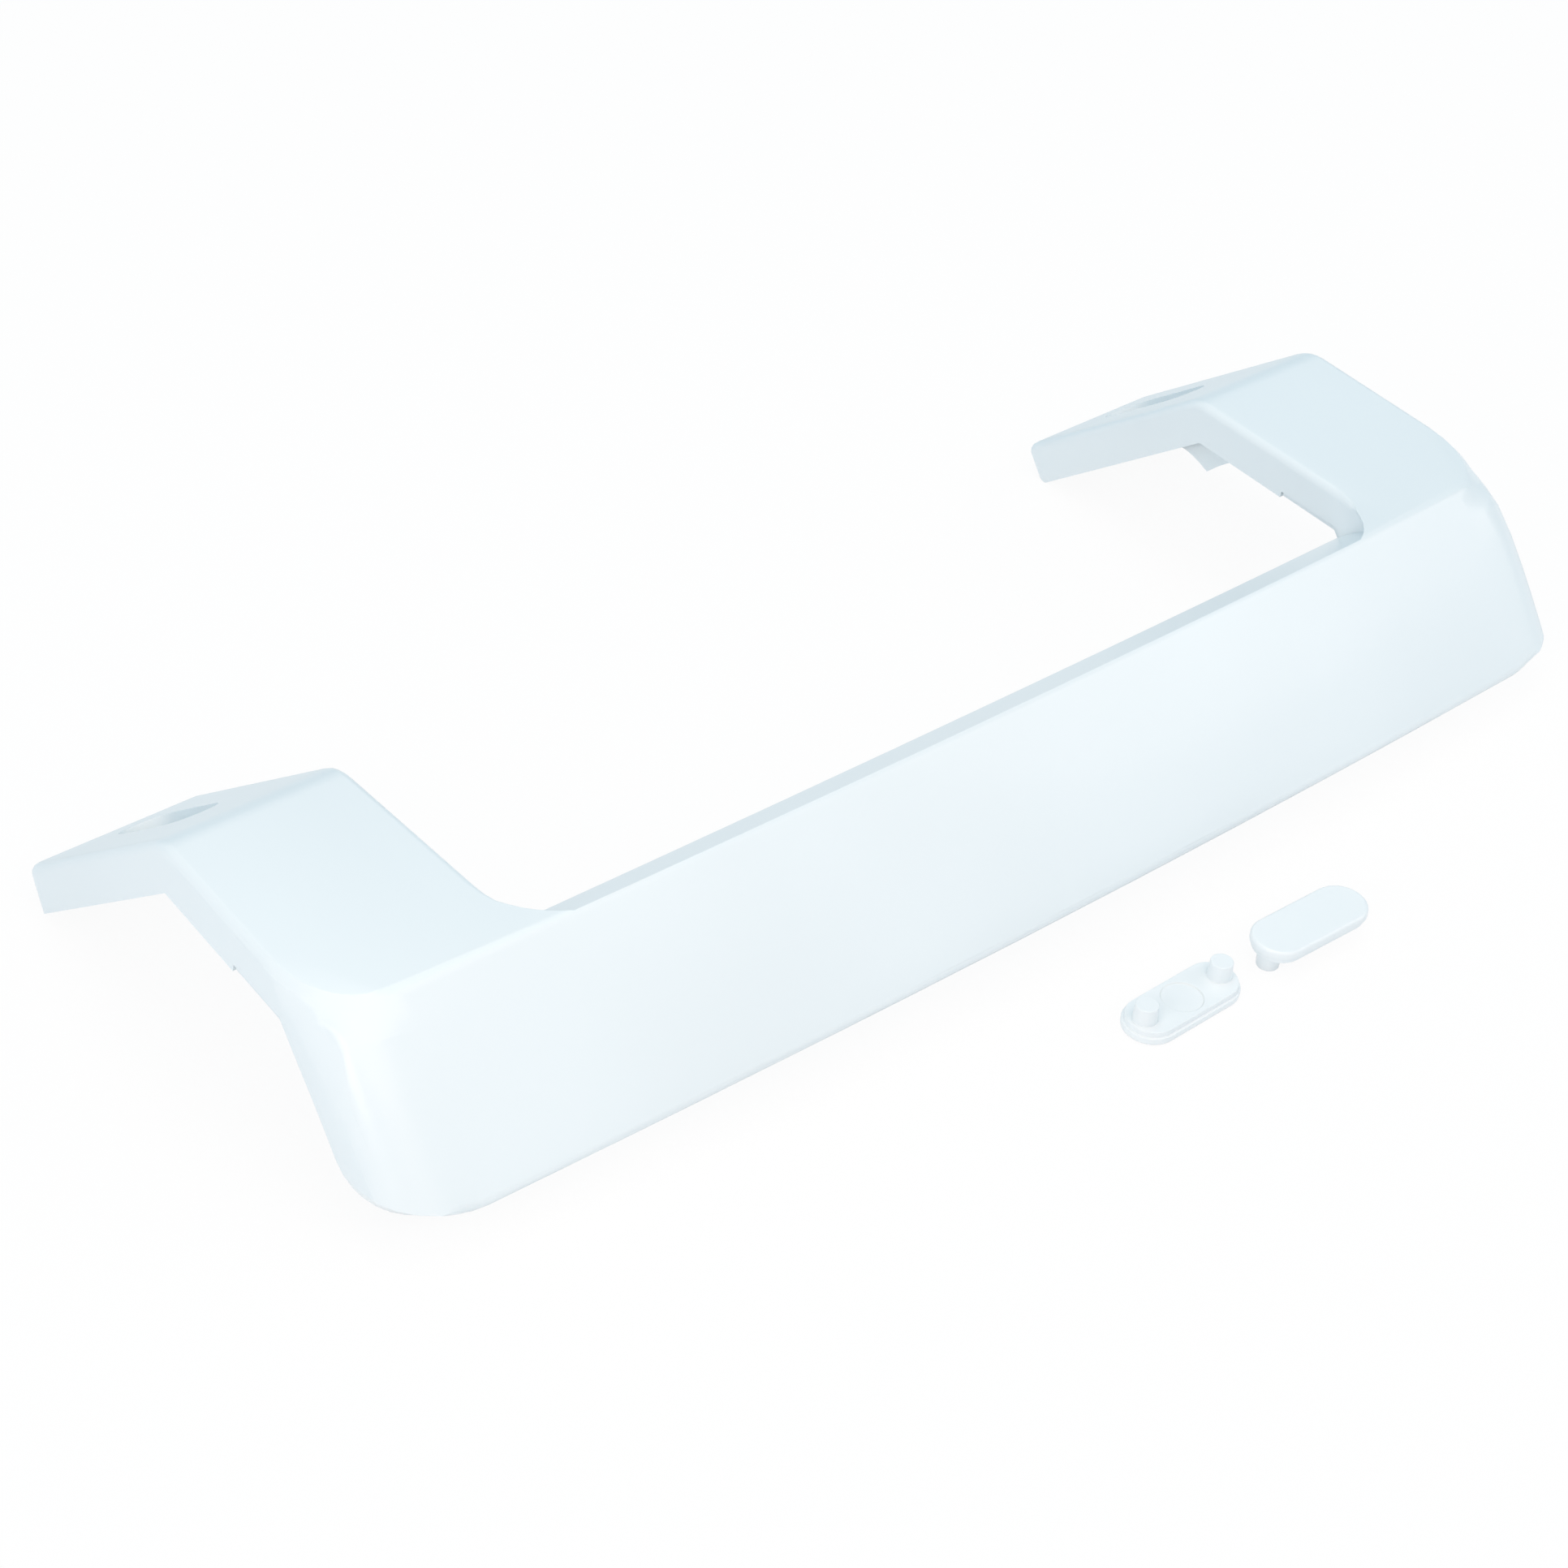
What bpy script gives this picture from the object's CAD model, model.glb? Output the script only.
"""Looks of a white moulded refrigerator door handle and its two loose screw caps.

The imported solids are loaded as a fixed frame. Each one gets a finer visible
piece with softened edges and a moulded white plastic, then the stage is set.
The shell's skin is also eased where its wide side rounding meets a corner.
"""
import math

import bmesh
import bpy
from bpy.props import FloatProperty, FloatVectorProperty, IntProperty, PointerProperty
from mathutils import Matrix, Vector


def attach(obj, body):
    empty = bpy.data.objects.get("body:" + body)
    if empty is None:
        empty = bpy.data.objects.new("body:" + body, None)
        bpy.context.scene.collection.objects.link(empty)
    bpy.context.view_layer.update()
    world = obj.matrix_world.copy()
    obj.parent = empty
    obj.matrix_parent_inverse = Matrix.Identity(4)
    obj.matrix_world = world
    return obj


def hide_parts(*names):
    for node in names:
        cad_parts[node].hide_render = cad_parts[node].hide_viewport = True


bl_info = {
    "name": "Refrigerator door handle",
    "version": (1, 0, 0),
    "blender": (4, 5, 0),
    "location": "View3D > Sidebar > Door handle",
    "description": "Dresses the moulded door handle, its back cover and its screw caps",
    "category": "Object",
}

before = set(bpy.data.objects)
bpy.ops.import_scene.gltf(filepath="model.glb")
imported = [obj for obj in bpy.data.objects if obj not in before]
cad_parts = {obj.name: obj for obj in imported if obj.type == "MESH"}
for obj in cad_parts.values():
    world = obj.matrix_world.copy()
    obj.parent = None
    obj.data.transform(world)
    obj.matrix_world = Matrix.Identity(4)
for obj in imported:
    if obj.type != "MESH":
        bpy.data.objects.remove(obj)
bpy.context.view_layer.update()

# Merging, joining and rounding of the meshes
WELD = 0.00002
FLAT = math.radians(0.7)
SHARP = math.radians(40.0)

# Easing of the shell's skin: middle, reach and strength of each spot
RELAX_PASSES = 16
RELAX_STEP = 0.5
RELAX_SPOTS = (
    (Vector((-0.1520, -0.0125, 0.0385)), 0.018, 1.0),
    (Vector((0.1520, -0.0125, 0.0385)), 0.018, 1.0),
    (Vector((-0.1118, -0.0122, 0.0430)), 0.009, 0.25),
    (Vector((0.1138, -0.0122, 0.0430)), 0.009, 0.25),
)

# Plastic: roughness of each moulding, how far it drifts either way, and drift patches per ripple
SHELL_ROUGHNESS = 0.32
COVER_ROUGHNESS = 0.36
CAP_ROUGHNESS = 0.31
SMOOTHER = 0.03
ROUGHER = 0.05
POLISH_SCALE = 0.4

# Plastic: refraction, coat, ends of the cloud ramp, and the two reliefs as (strength, depth)
REFRACTION = 1.5
COAT_WEIGHT = 0.15
COAT_ROUGHNESS = 0.12
CLOUD_EDGES = (0.2, 0.8)
RIPPLE_RELIEF = (0.05, 0.0003)
GRAIN_RELIEF = (0.05, 0.00004)

# Stage: arm from the handle and width of each lamp, in metres, and the camera's rows
STAGE_MIDDLE = Vector((0.0, 0.0, 0.02))
FLOOR_HALF = 6.0
FLOOR_ROUGHNESS = 0.9
FLOOR_GLOW = 0.93
WHITE = (1.0, 1.0, 1.0, 1.0)
FRONT_LAMP = (Vector((-0.35, -0.55, 1.15)), 1.8)
LEFT_LAMP = (Vector((-1.3, -0.3, 0.5)), 0.8)
RIGHT_LAMP = (Vector((1.1, -0.7, 0.8)), 0.9)
TOP_LAMP = (Vector((0.1, 0.25, 1.4)), 1.0)
FILM_WIDTH = 36.0
VIEW_REACH = 20.0
CAMERA_PLACE = Matrix((
    (0.75048, 0.34965, -0.56082, -0.45597),
    (-0.65433, 0.51234, -0.55619, -0.42015),
    (0.09286, 0.78438, 0.61329, 0.48913),
    (0.0, 0.0, 0.0, 1.0)))


class HandleFinish(bpy.types.PropertyGroup):
    """Colours and surface of the moulded plastic."""

    shell_colour: FloatVectorProperty(
        name="Shell colour", description="White of the outer moulding", subtype="COLOR", size=4,
        min=0.0, max=1.0, default=(0.815, 0.880, 0.907, 1.0))
    cover_colour: FloatVectorProperty(
        name="Cover colour", description="White of the clip-in back cover", subtype="COLOR", size=4,
        min=0.0, max=1.0, default=(0.790, 0.850, 0.878, 1.0))
    cap_colour: FloatVectorProperty(
        name="Cap colour", description="White of the two screw caps", subtype="COLOR", size=4,
        min=0.0, max=1.0, default=(0.845, 0.900, 0.925, 1.0))
    shade_share: FloatProperty(
        name="Shade share", description="How far the colour drifts in broad clouds", min=0.0, max=1.0,
        default=0.018)
    cloud_size: FloatProperty(
        name="Cloud size", description="Width of the broad clouds in the white", unit="LENGTH",
        default=0.060)
    grain_size: FloatProperty(
        name="Grain size", description="Width of the fine grain that the mould leaves", unit="LENGTH",
        default=0.0007)
    wave_size: FloatProperty(
        name="Wave size", description="Width of the slow ripples of a moulded face", unit="LENGTH",
        default=0.022)
    edge_round: FloatProperty(
        name="Edge rounding", description="Widest rounding of small edges, half on cover and caps",
        unit="LENGTH", default=0.00035)
    round_steps: IntProperty(
        name="Rounding steps", description="Facets across each small rounding", min=1, max=6, default=2)


class StageFinish(bpy.types.PropertyGroup):
    """Floor, lights and camera."""

    floor_colour: FloatVectorProperty(
        name="Floor colour", description="Pale floor under the handle", subtype="COLOR", size=4,
        min=0.0, max=1.0, default=(0.92, 0.92, 0.92, 1.0))
    key_level: FloatProperty(
        name="Key level", description="Level of the broad light in front", min=0.0, default=0.630)
    left_level: FloatProperty(
        name="Left level", description="Level of the light at the left", min=0.0, default=0.240)
    right_level: FloatProperty(
        name="Right level", description="Level of the light at the right", min=0.0, default=0.157)
    top_level: FloatProperty(
        name="Top level", description="Level of the light overhead", min=0.0, default=0.196)
    key_colour: FloatVectorProperty(
        name="Key colour", description="Warm tint of the lamp in front", subtype="COLOR", size=3,
        min=0.0, max=1.0, default=(1.0, 0.70, 0.53))
    side_colour: FloatVectorProperty(
        name="Side colour", description="Tint of the lamps at the sides", subtype="COLOR", size=3,
        min=0.0, max=1.0, default=(1.0, 0.86, 0.79))
    top_colour: FloatVectorProperty(
        name="Top colour", description="Tint of the lamp overhead", subtype="COLOR", size=3,
        min=0.0, max=1.0, default=(0.97, 1.0, 0.93))
    world_colour: FloatVectorProperty(
        name="World colour", description="Cool tint of the even light", subtype="COLOR", size=4,
        min=0.0, max=1.0, default=(0.51, 0.81, 1.0, 1.0))
    world_level: FloatProperty(
        name="World level", description="Level of the even light all round", min=0.0, default=0.560)
    lens: FloatProperty(
        name="Lens", description="Focal length on a 36 mm wide square film", unit="CAMERA", default=90.12)


def finish_of(context):
    """Colours and surface that are set in the scene."""
    return context.scene.handle_finish


def link(name, data):
    """New object in the scene, made of a mesh, a lamp or a camera."""
    made = bpy.data.objects.new(name, data)
    bpy.context.scene.collection.objects.link(made)
    return made


def relax_share(place):
    """How strongly a place is eased: most at the middle of a spot, not at all outside them."""
    return max(strength * max(1 - (place - middle).length / reach, 0)**2
               for middle, reach, strength in RELAX_SPOTS)


def eased_place(vert):
    """Middle of the neighbours of a vertex, the near ones counting more."""
    total = Vector()
    weight = 0.0
    for edge in vert.link_edges:
        share = 1 / max(edge.calc_length(), WELD)
        total += edge.other_vert(vert).co * share
        weight += share
    return total / weight


def relax_skin(form):
    """Ease the outer skin where the wide side rounding meets a corner."""
    for _ in range(RELAX_PASSES):
        form.normal_update()
        near = [vert for vert in form.verts if relax_share(vert.co) > 0 and vert.normal.z > 0.0]
        places = [vert.co.lerp(eased_place(vert), RELAX_STEP * relax_share(vert.co)) for vert in near]
        for vert, place in zip(near, places):
            vert.co = place


def softened_copy(solid, name, size, steps, clamped=True, eased=False):
    """Finer piece made from a solid: merged, flat faces joined, skin eased, small edges rounded.

    A clamped rounding is only as wide as the shortest edge allows, which on the shell is very little.
    """
    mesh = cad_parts[solid].data.copy()
    mesh.name = name
    form = bmesh.new()
    form.from_mesh(mesh)
    bmesh.ops.remove_doubles(form, verts=form.verts, dist=WELD)
    bmesh.ops.dissolve_limit(form, angle_limit=FLAT, verts=form.verts, edges=form.edges)
    if eased:
        relax_skin(form)
    sharp = [edge for edge in form.edges if edge.is_manifold and edge.calc_face_angle() > SHARP]
    bmesh.ops.bevel(form, geom=sharp, affect="EDGES", offset=size, segments=steps, profile=0.5,
                    clamp_overlap=clamped, material=-1)
    form.to_mesh(mesh)
    form.free()
    mesh.materials.clear()
    mesh.shade_smooth()
    mesh.set_sharp_from_angle(angle=SHARP)
    piece = link(name, mesh)
    even = piece.modifiers.new("Even shading", "WEIGHTED_NORMAL")
    even.keep_sharp = True
    return piece


def node(tree, kind, place, **values):
    """Shader node at a place, with input values by name."""
    made = tree.nodes.new(kind)
    made.location = place
    for name, value in values.items():
        made.inputs[name.replace("_", " ")].default_value = value
    return made


def noise(tree, place, height, **values):
    """Noise texture on Object coordinates, in its own row of the node editor."""
    made = node(tree, "ShaderNodeTexNoise", (-900, height), **values)
    tree.links.new(place, made.inputs["Vector"])
    return made.outputs["Fac"]


def clouded_colour(tree, place, colour, finish):
    """Colour that drifts a little in broad clouds."""
    clouds = noise(tree, place, 300, Scale=1 / finish.cloud_size, Detail=1.0, Roughness=0.5)
    shades = tree.nodes.new("ShaderNodeValToRGB")
    darker = [part * (1 - finish.shade_share) for part in colour[:3]]
    lighter = [min(part * (1 + finish.shade_share), 1.0) for part in colour[:3]]
    shades.color_ramp.interpolation = "EASE"
    for stop, edge, shade in zip(shades.color_ramp.elements, CLOUD_EDGES, (darker, lighter)):
        stop.position = edge
        stop.color = (*shade, 1.0)
    tree.links.new(clouds, shades.inputs["Fac"])
    return shades.outputs["Color"]


def uneven_roughness(tree, place, roughness, finish):
    """Roughness that drifts a little from patch to patch."""
    polish = noise(tree, place, 0, Scale=POLISH_SCALE / finish.wave_size, Detail=2.0, Roughness=0.5)
    drift = node(tree, "ShaderNodeMapRange", (-600, 0), To_Min=roughness - SMOOTHER,
                 To_Max=roughness + ROUGHER)
    tree.links.new(polish, drift.inputs["Value"])
    return drift.outputs["Result"]


def moulded_relief(tree, place, finish):
    """Slow ripples of a moulded face, with a fine grain on them."""
    ripples = noise(tree, place, -300, Scale=1 / finish.wave_size, Detail=0.0, Roughness=0.5)
    grain = noise(tree, place, -600, Scale=1 / finish.grain_size, Detail=2.0, Roughness=0.6)
    slow = node(tree, "ShaderNodeBump", (-400, -300), Strength=RIPPLE_RELIEF[0], Distance=RIPPLE_RELIEF[1])
    tree.links.new(ripples, slow.inputs["Height"])
    fine = node(tree, "ShaderNodeBump", (-200, -500), Strength=GRAIN_RELIEF[0], Distance=GRAIN_RELIEF[1])
    tree.links.new(grain, fine.inputs["Height"])
    tree.links.new(slow.outputs["Normal"], fine.inputs["Normal"])
    return fine.outputs["Normal"]


def moulded_plastic(name, colour, finish, roughness):
    """White moulded plastic: clouded colour, uneven roughness, slow ripples and a fine grain."""
    material = bpy.data.materials.new(name)
    material.use_nodes = True
    tree = material.node_tree
    shader = tree.nodes["Principled BSDF"]
    shader.inputs["IOR"].default_value = REFRACTION
    shader.inputs["Coat Weight"].default_value = COAT_WEIGHT
    shader.inputs["Coat Roughness"].default_value = COAT_ROUGHNESS
    place = tree.nodes.new("ShaderNodeTexCoord").outputs["Object"]
    tree.links.new(clouded_colour(tree, place, colour, finish), shader.inputs["Base Color"])
    tree.links.new(uneven_roughness(tree, place, roughness, finish), shader.inputs["Roughness"])
    tree.links.new(moulded_relief(tree, place, finish), shader.inputs["Normal"])
    return material


def dress(piece, node_name, material):
    """Give a finer piece its material and let it stand for its solid."""
    piece.data.materials.append(material)
    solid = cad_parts[node_name]
    solid.data.materials.clear()
    solid.data.materials.append(material)
    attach(piece, "root")
    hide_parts(node_name)


class DressShell(bpy.types.Operator):
    """Make the visible outer moulding with its feet, legs and bowed bar"""

    bl_idname = "door_handle.dress_shell"
    bl_label = "Handle shell"

    def execute(self, context):
        finish = finish_of(context)
        material = moulded_plastic("shell_white_plastic", finish.shell_colour, finish, SHELL_ROUGHNESS)
        piece = softened_copy("handle_shell", "moulded_shell", finish.edge_round, finish.round_steps,
                              eased=True)
        dress(piece, "handle_shell", material)
        return {"FINISHED"}


class DressCover(bpy.types.Operator):
    """Make the visible back cover that closes the bar and the lower legs"""

    bl_idname = "door_handle.dress_cover"
    bl_label = "Back cover"

    def execute(self, context):
        finish = finish_of(context)
        material = moulded_plastic("cover_white_plastic", finish.cover_colour, finish, COVER_ROUGHNESS)
        piece = softened_copy("back_cover", "clip_in_cover", finish.edge_round / 2, finish.round_steps)
        dress(piece, "back_cover", material)
        return {"FINISHED"}


class DressCaps(bpy.types.Operator):
    """Make the two screw caps, one upturned and one on its pins"""

    bl_idname = "door_handle.dress_caps"
    bl_label = "Screw caps"

    def execute(self, context):
        finish = finish_of(context)
        for which in ("upturned", "upright"):
            material = moulded_plastic(f"cap_white_plastic_{which}", finish.cap_colour, finish,
                                       CAP_ROUGHNESS)
            solid = f"screw_cap_{which}"
            piece = softened_copy(solid, f"{which}_cap", finish.edge_round / 2, finish.round_steps,
                                  clamped=False)
            dress(piece, solid, material)
        return {"FINISHED"}


def soft_light(name, target, arm, size, level, colour):
    """Round area light at an arm from its target, level 1 lights a white face to white."""
    lamp = bpy.data.lights.new(name, "AREA")
    lamp.shape = "DISK"
    lamp.size = size
    lamp.energy = level * math.pi**2 * arm.length_squared
    lamp.color = colour
    holder = link(name, lamp)
    turn = arm.to_track_quat("Z", "Y").to_matrix().to_4x4()
    holder.matrix_world = Matrix.Translation(target + arm) @ turn


def white_floor(colour):
    """Pale floor that shows white to the camera, yet keeps the shadow of what lies on it."""
    material = bpy.data.materials.new("pale_floor")
    material.use_nodes = True
    tree = material.node_tree
    links = tree.links
    shader = tree.nodes["Principled BSDF"]
    shader.inputs["Base Color"].default_value = colour
    shader.inputs["Roughness"].default_value = FLOOR_ROUGHNESS
    shader.inputs["Specular IOR Level"].default_value = 0.0
    glow = node(tree, "ShaderNodeEmission", (0, -200), Color=WHITE, Strength=1.0)
    rays = tree.nodes.new("ShaderNodeLightPath")
    seen = tree.nodes.new("ShaderNodeMath")
    seen.operation = "MAXIMUM"
    links.new(rays.outputs["Is Camera Ray"], seen.inputs[0])
    links.new(rays.outputs["Is Transmission Ray"], seen.inputs[1])
    seen_too = tree.nodes.new("ShaderNodeMath")
    seen_too.operation = "MAXIMUM"
    links.new(seen.outputs[0], seen_too.inputs[0])
    links.new(rays.outputs["Is Glossy Ray"], seen_too.inputs[1])
    share = tree.nodes.new("ShaderNodeMath")
    share.operation = "MULTIPLY"
    share.inputs[1].default_value = FLOOR_GLOW
    links.new(seen_too.outputs[0], share.inputs[0])
    blend = tree.nodes.new("ShaderNodeMixShader")
    links.new(share.outputs[0], blend.inputs["Fac"])
    links.new(shader.outputs["BSDF"], blend.inputs[1])
    links.new(glow.outputs["Emission"], blend.inputs[2])
    links.new(blend.outputs["Shader"], tree.nodes["Material Output"].inputs["Surface"])
    return material


def white_world(level, colour):
    """Even light all round, white to the camera."""
    world = bpy.data.worlds.new("even_light")
    world.use_nodes = True
    tree = world.node_tree
    links = tree.links
    light = tree.nodes["Background"]
    light.inputs["Color"].default_value = colour
    light.inputs["Strength"].default_value = level
    seen = node(tree, "ShaderNodeBackground", (0, -200), Color=WHITE, Strength=1.0)
    rays = tree.nodes.new("ShaderNodeLightPath")
    blend = tree.nodes.new("ShaderNodeMixShader")
    links.new(rays.outputs["Is Camera Ray"], blend.inputs["Fac"])
    links.new(light.outputs["Background"], blend.inputs[1])
    links.new(seen.outputs["Background"], blend.inputs[2])
    links.new(blend.outputs["Shader"], tree.nodes["World Output"].inputs["Surface"])
    bpy.context.scene.world = world


def lay_floor(colour):
    """Wide flat floor, which belongs to the stage."""
    mesh = bpy.data.meshes.new("floor")
    form = bmesh.new()
    bmesh.ops.create_grid(form, x_segments=1, y_segments=1, size=FLOOR_HALF)
    form.to_mesh(mesh)
    form.free()
    mesh.materials.append(white_floor(colour))
    link("floor", mesh)


def hang_lights(finish):
    """Soft lamps in front, at the left, at the right and overhead."""
    lamps = (("front_light", FRONT_LAMP, finish.key_level, finish.key_colour),
             ("left_light", LEFT_LAMP, finish.left_level, finish.side_colour),
             ("right_light", RIGHT_LAMP, finish.right_level, finish.side_colour),
             ("top_light", TOP_LAMP, finish.top_level, finish.top_colour))
    for name, (arm, size), level, colour in lamps:
        soft_light(name, STAGE_MIDDLE, arm, size, level, colour)


def set_camera(length):
    """Camera that stands where the photograph was taken from."""
    lens = bpy.data.cameras.new("camera")
    lens.sensor_width = FILM_WIDTH
    lens.lens = length
    lens.clip_end = VIEW_REACH
    camera = link("camera", lens)
    camera.matrix_world = CAMERA_PLACE
    bpy.context.scene.camera = camera


class SetStage(bpy.types.Operator):
    """Lay the pale floor, hang the soft lights and set the camera"""

    bl_idname = "door_handle.set_stage"
    bl_label = "Floor, lights and camera"

    def execute(self, context):
        finish = context.scene.stage_finish
        lay_floor(finish.floor_colour)
        white_world(finish.world_level, finish.world_colour)
        hang_lights(finish)
        set_camera(finish.lens)
        context.scene.view_settings.view_transform = "Standard"
        return {"FINISHED"}


class DoorHandlePanel(bpy.types.Panel):
    """Pieces of the door handle and their finish"""

    bl_idname = "VIEW3D_PT_door_handle"
    bl_label = "Door handle"
    bl_space_type = "VIEW_3D"
    bl_region_type = "UI"
    bl_category = "Door handle"

    def draw(self, context):
        layout = self.layout
        for operator in OPERATORS:
            layout.operator(operator.bl_idname)
        for group in (context.scene.handle_finish, context.scene.stage_finish):
            for name in group.__annotations__:
                layout.prop(group, name)


OPERATORS = (DressShell, DressCover, DressCaps, SetStage)
CLASSES = (HandleFinish, StageFinish, *OPERATORS, DoorHandlePanel)


def register():
    for kind in CLASSES:
        bpy.utils.register_class(kind)
    bpy.types.Scene.handle_finish = PointerProperty(type=HandleFinish)
    bpy.types.Scene.stage_finish = PointerProperty(type=StageFinish)


def unregister():
    del bpy.types.Scene.stage_finish
    del bpy.types.Scene.handle_finish
    for kind in reversed(CLASSES):
        bpy.utils.unregister_class(kind)


def main():
    register()
    bpy.ops.door_handle.dress_shell()
    bpy.ops.door_handle.dress_cover()
    bpy.ops.door_handle.dress_caps()
    bpy.ops.door_handle.set_stage()


if __name__ == "__main__":
    main()
